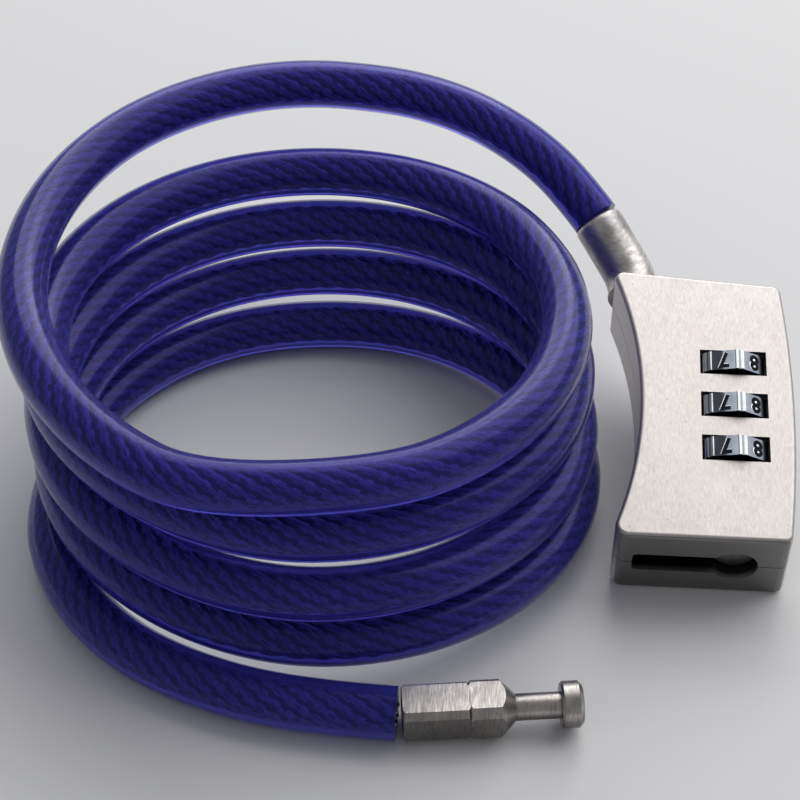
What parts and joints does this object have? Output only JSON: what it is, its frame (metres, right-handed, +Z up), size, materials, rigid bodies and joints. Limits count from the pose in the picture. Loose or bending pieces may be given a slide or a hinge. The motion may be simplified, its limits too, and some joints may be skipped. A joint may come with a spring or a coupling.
{
  "type": "coiled cable combination lock",
  "caption": "Combination lock with numbered dials and a coiled jacketed cable whose stud enters a keyhole in the casing's end.",
  "frame": {"origin": "bottom centre of the lock's own box, the cable and its fittings left out; the lock stands on the lower edge of its keyhole end", "axes": "+Z up, +Y from the keyhole end to the cable end seen from above, +X across the casing from its hollow side to its bulging side; the casing leans back by 11.3 degrees about X, so the dials' axis is (0, 0.98061, 0.19595)"},
  "size_m": [0.1232, 0.1176, 0.0418],
  "materials": {
    "casing_metal": "brushed",
    "dial_chrome": "polished",
    "inner_brass": "turned",
    "spindle_steel": "turned",
    "rivet_steel": "satin",
    "spring_steel": "drawn wire",
    "ferrule_metal": "polished, worn",
    "cable_jacket": "translucent blue jacket over steel rope"
  },
  "bodies": {
    "casing": {"front_shell": "casing_metal", "back_shell": "casing_metal", "casing_rivets": "rivet_steel", "spring_seat": "inner_brass", "spindle_spring": "spring_steel", "detent_leaf": "spring_steel", "lock_ferrule": "ferrule_metal", "cable_lead": "cable_jacket", "cable_coil": "cable_jacket", "cable_tail": "cable_jacket", "stud_sleeve": "ferrule_metal", "keyhole_stud": "ferrule_metal"},
    "first_dial": {"dial_1": "dial_chrome", "dial_sleeve_1": "inner_brass"},
    "second_dial": {"dial_2": "dial_chrome", "dial_sleeve_2": "inner_brass"},
    "third_dial": {"dial_3": "dial_chrome", "dial_sleeve_3": "inner_brass"},
    "spindle": {"locking_spindle": "spindle_steel", "spindle_fins": "spindle_steel"}
  },
  "joints": [
    {"name": "dial_1_spin", "type": "hinge", "parent": "casing", "child": "first_dial", "pos_m": [0.00458, -0.00878, 0.01012], "axis": [0, 0.9806, 0.196], "continuous": true},
    {"name": "dial_2_spin", "type": "hinge", "parent": "casing", "child": "second_dial", "pos_m": [0.00458, -0.00066, 0.01175], "axis": [0, 0.9806, 0.196], "continuous": true},
    {"name": "dial_3_spin", "type": "hinge", "parent": "casing", "child": "third_dial", "pos_m": [0.00458, 0.00746, 0.01337], "axis": [0, 0.9806, 0.196], "continuous": true},
    {"name": "spindle_slide", "type": "slide", "parent": "casing", "child": "spindle", "axis": [0, 0.9806, 0.196], "range_m": [0, 0.00828], "stiffness_N_per_m": 300, "springref_m": -0.003, "deforming": ["spindle_spring"]}
  ]
}
